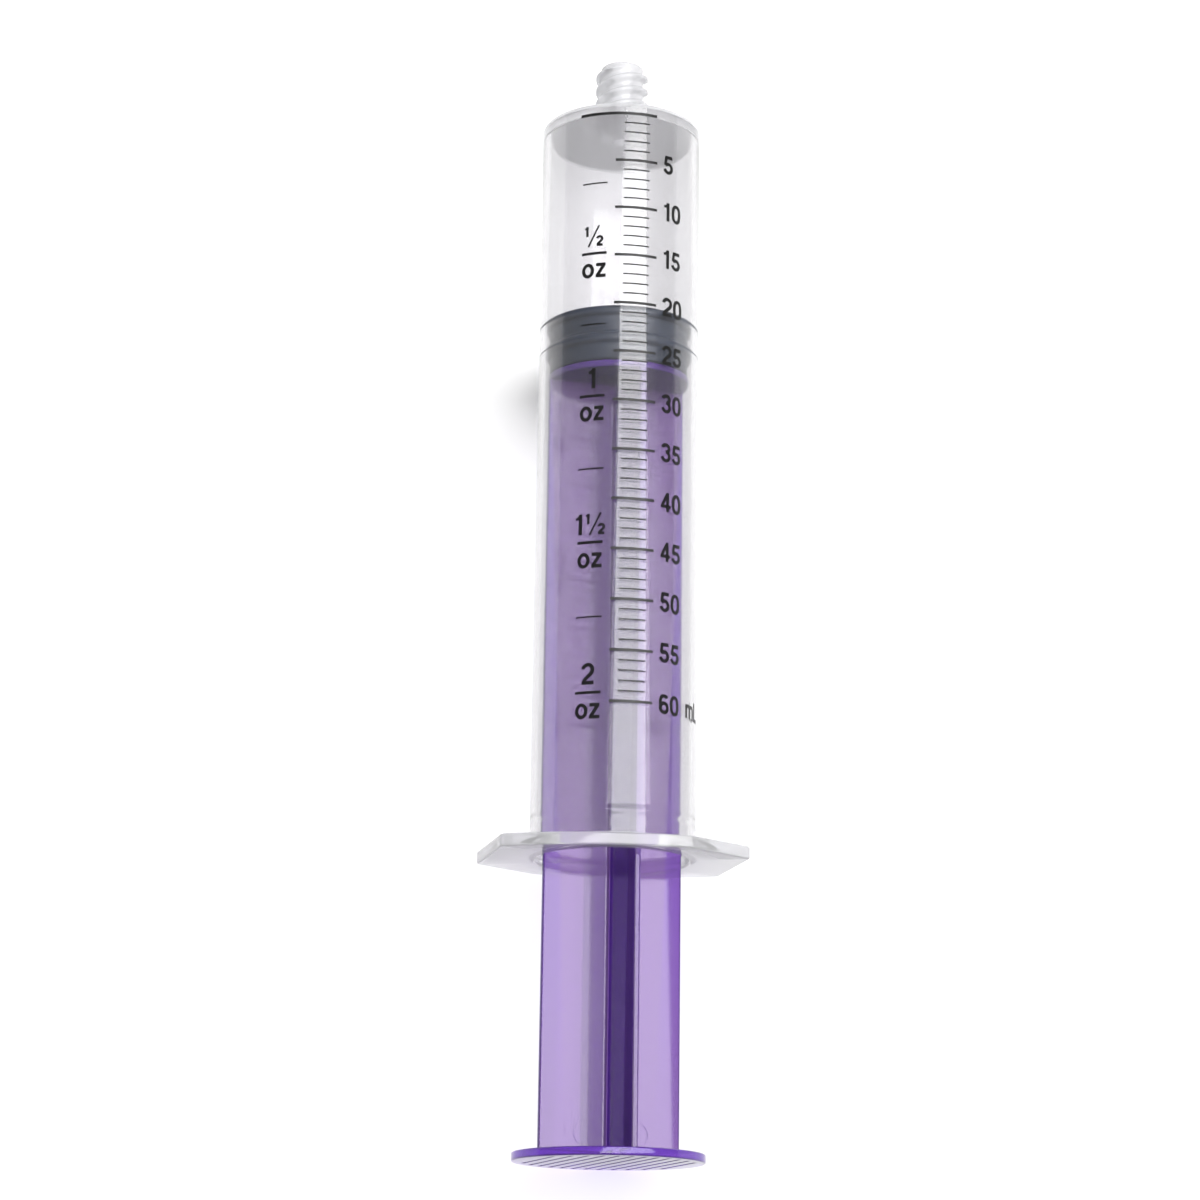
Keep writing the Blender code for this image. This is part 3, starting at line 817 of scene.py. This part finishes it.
def rib_section():
    """Outline of the cross as (across, up) points before it is turned."""
    quarter = []
    for step in range(4):
        angle = math.pi / 2 * step / 3
        quarter.append((RIB_RADIUS - RIB_ROUNDING * (1 - math.sin(angle)),
                        RIB_EDGE - RIB_ROUNDING * (1 - math.cos(angle))))
    arm = [(radius, -half) for radius, half in quarter]
    arm += reversed(quarter)
    corner = RIB_ROOT + ROOT_FILLET
    for step in range(6):
        angle = math.pi / 2 * step / 5
        arm.append((corner - ROOT_FILLET * math.sin(angle), corner - ROOT_FILLET * math.cos(angle)))
    outline = []
    for number in range(4):
        cosine, sine = math.cos(number * math.pi / 2), math.sin(number * math.pi / 2)
        outline += [(x * cosine - up * sine, x * sine + up * cosine) for x, up in arm]
    return outline


def turned_point(x, up, y):
    """A point of the rod's section, turned with the rod and put on the axis."""
    return Vector((x * math.cos(ROD_TURN) + up * math.sin(ROD_TURN), y,
                   AXIS_Z - x * math.sin(ROD_TURN) + up * math.cos(ROD_TURN)))


def drawn_out(name, outline, low, high):
    """A closed prism of an outline between two places along the syringe."""
    prism = bmesh.new()
    ends = [[prism.verts.new(turned_point(x, up, y)) for x, up in outline] for y in (low, high)]
    add_band(prism, *ends)
    for end in ends:
        prism.faces.new(end)
    bmesh.ops.recalc_face_normals(prism, faces=prism.faces)
    return object_from(name, prism)


BITE = 0.2 * MM
ribs = drawn_out("ribs", rib_section(), THUMB_INSIDE - BITE, HEAD_BACK + BITE)
print("rib section has", len(rib_section()), "corners")

# %% [markdown]
# ## Head and thumb disc
# On the real rod the button snaps into the stopper, the head disc pushes it, and the thumb disc takes the
# hand's force. All three are round, so they are turned like the barrel. Their edges get small radii, because
# no mould has quite sharp edges.

# %% Head and thumb disc
ROD_SIDES = 160


def head_rings():
    """Button, neck and head disc."""
    radius, neck, button = 12.6 * MM, 5.7 * MM, 8.2 * MM
    front, back = STOPPER_REAR + 6.6 * MM, STOPPER_REAR + 2.8 * MM
    rings = [(0.0, front)] + rounded(button, front, (-1.6, 0), (0, -1.6))
    rings += rounded(button, back, (0, 0.3), (-0.3, 0), 3)
    rings += [(neck, back), (neck, HEAD_FRONT)]
    rings += rounded(radius, HEAD_FRONT, (-0.25, 0), (0, -0.25), 3)
    rings += rounded(radius, HEAD_BACK, (0, 0.25), (-0.25, 0), 3)
    return rings + [(0.0, HEAD_BACK)]


def thumb_rings():
    """The thumb disc before its grooves are cut."""
    rings = [(0.0, THUMB_INSIDE)] + rounded(THUMB_RADIUS, THUMB_INSIDE, (-0.3, 0), (0, -0.3))
    rings += rounded(THUMB_RADIUS, THUMB_OUTSIDE, (0, 0.3), (-0.3, 0))
    return rings + [(0.0, THUMB_OUTSIDE)]


rod = turned_skin("plunger_rod_violet", head_rings(), ROD_SIDES)
thumb = turned_skin("thumb", thumb_rings(), ROD_SIDES)

# %% [markdown]
# ## Grooves in the thumb disc
# Twelve narrow grooves keep a thumb from slipping. They stop at a smooth border, so each one is as long as
# the chord it lies on. The tree makes one round-bottomed bar, puts a copy at each place in a row and
# stretches it by its chord. The bars are then cut from the disc.

# %% Thumb grooves
GROOVES = {"Count": 12, "Pitch": 2.3 * MM, "Width": 0.75 * MM, "Depth": 0.35 * MM, "Border Radius": 15.3 * MM,
           "Face": THUMB_OUTSIDE, "Turn": ROD_TURN, "Axis Height": AXIS_Z}


def groove_tree(material):
    """A row of cutters, each as long as its chord of the border circle."""
    tree, given, result = new_tree("thumb_grooves", list(GROOVES))
    value = given.outputs
    half_count = maths(tree, "MULTIPLY", maths(tree, "SUBTRACT", value["Count"], 1.0), -0.5)
    row = node(tree, "GeometryNodeMeshLine", {
        "Count": value["Count"], "Offset": combined(tree, value["Pitch"]),
        "Start Location": combined(tree, maths(tree, "MULTIPLY", half_count, value["Pitch"]))})
    half_width = maths(tree, "MULTIPLY", value["Width"], 0.5)
    profile = node(tree, "GeometryNodeCurvePrimitiveCircle", {"Resolution": 16, "Radius": half_width})
    flattened = combined(tree, 1.0, maths(tree, "DIVIDE", value["Depth"], half_width), 1.0)
    oval = node(tree, "GeometryNodeTransform", {"Geometry": profile.outputs[0], "Scale": flattened})
    bar_ends = {"Start": (0.0, 0.0, -1.0), "End": (0.0, 0.0, 1.0)}
    bar = node(tree, "GeometryNodeCurveToMesh", {
        "Curve": node(tree, "GeometryNodeCurvePrimitiveLine", bar_ends).outputs[0],
        "Profile Curve": oval.outputs[0], "Fill Caps": True})
    outer = maths(tree, "ADD", maths(tree, "ABSOLUTE", split_position(tree)["X"]), half_width)
    border_square = maths(tree, "POWER", value["Border Radius"], 2.0)
    chord_square = maths(tree, "SUBTRACT", border_square, maths(tree, "POWER", outer, 2.0))
    stretch = combined(tree, 1.0, 1.0, maths(tree, "SQRT", chord_square))
    bars = node(tree, "GeometryNodeInstanceOnPoints", {
        "Points": row.outputs[0], "Instance": bar.outputs[0], "Scale": stretch})
    laid = node(tree, "GeometryNodeTransform", {
        "Geometry": bars.outputs[0], "Rotation": combined(tree, y=value["Turn"]),
        "Translation": combined(tree, y=value["Face"], z=value["Axis Height"])})
    end_tree(tree, laid.outputs[0], result, material)
    return tree


grooves = run_tree(empty_object("grooves"), groove_tree(violet_plastic), GROOVES)
print("groove cutters:", len(grooves.data.polygons), "faces")

# %% [markdown]
# ## Ejector marks
# The pins that push the rod out of its mould leave a thin ring on the side ribs wherever one touched: near
# the head, in the middle and near the thumb disc. Each ring is a shallow round groove.

# %% Marks and the joined rod
MARK_RADIUS = 2.1 * MM
MARK_OFFSET = 4.7 * MM
MARK_WIDTH = 0.2 * MM
MARK_DEPTH = 0.13 * MM
MARK_SIDES = 56
MARK_PLACES = (THUMB_INSIDE + 3.3 * MM, FLANGE_FACE + 24.5 * MM, FLANGE_FACE + 82.7 * MM)


def ejector_mark(x, y):
    """A thin ring of a cutter that sinks into the upper face of a side rib."""
    ring = bmesh.new()
    angles = [2 * math.pi * number / MARK_SIDES for number in range(MARK_SIDES)]
    inner = MARK_RADIUS - MARK_WIDTH
    rows = [[ring.verts.new((radius * math.cos(angle), radius * math.sin(angle), height)) for angle in angles]
            for radius, height in ((MARK_RADIUS, 1 * MM), (MARK_RADIUS, 0.0), (inner, 0.0), (inner, 1 * MM))]
    for first, second in zip(rows, rows[1:] + rows[:1]):
        add_band(ring, first, second)
    bmesh.ops.recalc_face_normals(ring, faces=ring.faces)
    run = RIB_RADIUS - RIB_ROOT - ROOT_FILLET
    thickness = RIB_EDGE + (RIB_ROOT - RIB_EDGE) * (RIB_RADIUS - abs(x)) / run
    slope = math.copysign(math.atan2(RIB_ROOT - RIB_EDGE, run), x)
    lift = Matrix.Translation((0.0, 0.0, thickness - MARK_DEPTH))
    place = Matrix.Translation((x, 0.0, 0.0)) @ Matrix.Rotation(slope, 4, "Y") @ lift
    put = Matrix.Translation((0.0, y, AXIS_Z)) @ Matrix.Rotation(ROD_TURN, 4, "Y") @ place
    bmesh.ops.transform(ring, matrix=put, verts=ring.verts)
    return object_from("mark", ring)


def join_all(base, tools):
    """Applies (object, operation) pairs to a base with exact Booleans and removes the tools."""
    for tool, operation in tools:
        boolean = base.modifiers.new(tool.name, "BOOLEAN")
        boolean.operation = operation
        boolean.solver = "EXACT"
        boolean.object = tool
    depsgraph = bpy.context.evaluated_depsgraph_get()
    mesh = bpy.data.meshes.new_from_object(base.evaluated_get(depsgraph))
    base.modifiers.clear()
    base.data = mesh
    for tool, operation in tools:
        bpy.data.objects.remove(tool, do_unlink=True)
    return base


marks = [ejector_mark(x, y) for y in MARK_PLACES for x in (-MARK_OFFSET, MARK_OFFSET)]
cuts = [(tool, "DIFFERENCE") for tool in (grooves, *marks)]
join_all(rod, [(ribs, "UNION"), (thumb, "UNION")] + cuts)
rod.data.materials.clear()
rod.data.materials.append(violet_plastic)


RIM_WIDTH = 0.32 * MM


def mark_edges(thing):
    """Stores 1 for each corner on a rib's edge or on a disc's rim, and 0 elsewhere."""
    mesh = thing.data
    stored = mesh.attributes.new("edge", "FLOAT", "POINT")
    for vertex in mesh.vertices:
        away = math.hypot(vertex.co.x, vertex.co.z - AXIS_Z)
        rim = THUMB_RADIUS if vertex.co.y < THUMB_INSIDE + 0.05 * MM else RIB_RADIUS
        stored.data[vertex.index].value = 1.0 if away > rim - RIM_WIDTH else 0.0


mark_edges(rod)
shade(rod, 32)
print("rod:", len(rod.data.polygons), "faces")

# %% [markdown]
# ## Floor, light and camera
# The syringe lies on white, lit by one large softbox up on the right and by the white room around it. The
# softbox is what draws the long bright strip along the barrel, so it is placed from the strip: its edges
# are where rays from the camera leave the barrel at the strip's edges.

# %% Floor and lights
bpy.context.scene.view_settings.view_transform = "Standard"
world = bpy.data.worlds.new("white_room")
bpy.context.scene.world = world
world.use_nodes = True
room = world.node_tree.nodes["Background"].inputs
room["Color"].default_value = (1.0, 1.0, 1.0, 1.0)
room["Strength"].default_value = 0.38

floor_shape = bmesh.new()
bmesh.ops.create_grid(floor_shape, x_segments=8, y_segments=8, size=3.0)
floor = object_from("floor", floor_shape)
sweep, _, sweep_shader = new_material("white_sweep")
sweep_shader.inputs["Base Color"].default_value = (0.92, 0.92, 0.92, 1.0)
sweep_shader.inputs["Roughness"].default_value = 0.9
sweep_shader.inputs["Specular IOR Level"].default_value = 0.1
floor.data.materials.append(sweep)


def facing_place(place, x, y, z):
    """The matrix of an object at a place with its three axes."""
    return Matrix.Translation(place) @ Matrix((x, y, z)).transposed().to_4x4()


def softbox(name, place, across, along, width, length, radiance):
    """A rectangular area light from its middle, its two edge directions and its brightness."""
    lamp = bpy.data.lights.new(name, "AREA")
    lamp.shape = "RECTANGLE"
    lamp.size = width
    lamp.size_y = length
    lamp.energy = radiance * math.pi * width * length
    x = Vector(across).normalized()
    z = x.cross(Vector(along)).normalized()
    new_object(name, lamp).matrix_world = facing_place(place, x, z.cross(x), z)


softbox("softbox", (0.782, 0.871, 2.131), (0.925, 0.099, -0.367), (0.168, 0.759, 0.629), 1.88, 2.6, 6.6)

# %% [markdown]
# ## The camera
# A long lens looks down on the syringe from just beyond the thumb disc, so the outer faces of the disc and
# the flange just show and the barrel narrows a little towards its tip.

# %% Camera
camera_data = bpy.data.cameras.new("camera")
camera_data.sensor_width = 36.0
camera_data.lens = 91.47
camera_data.clip_start = 0.01
camera = new_object("camera", camera_data)
CAMERA_PLACE = Vector((0.0, -0.14178, 0.53980))
CAMERA_FORWARD = Vector((-0.00508229, 0.25841256, -0.96602128))
CAMERA_UP = Vector((-0.01282419, 0.96593747, 0.25845761))
back = -CAMERA_FORWARD.normalized()
right = CAMERA_UP.cross(back).normalized()
camera.matrix_world = facing_place(CAMERA_PLACE, right, back.cross(right), back)
bpy.context.scene.camera = camera
print(f"camera is {(CAMERA_PLACE - Vector((0, 0, AXIS_Z))).length:.3f} m from the middle of the syringe")

# %% [markdown]
# ## Riding on the mechanism
# Each detailed piece rides on the body it belongs to and stands for its plain node, so the stopper and the
# rod slide together, and the ink stays on the barrel.


# %% Bodies and replaced nodes
def join_meshes(name, things):
    """One object from several meshes that lie in the same frame."""
    joined = bmesh.new()
    for thing in things:
        joined.from_mesh(thing.data)
    result = object_from(name, joined)
    result.data.materials.append(things[0].data.materials[0])
    for thing in things:
        bpy.data.objects.remove(thing, do_unlink=True)
    return result


lines = join_meshes("scale_lines", rows)
for piece, body in ((barrel, "barrel"), (lines, "barrel"), (numbers, "barrel"),
                    (stopper, "stopper"), (rod, "plunger_rod")):
    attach(piece, body)
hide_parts("barrel")
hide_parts("stopper")
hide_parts("plunger_rod")
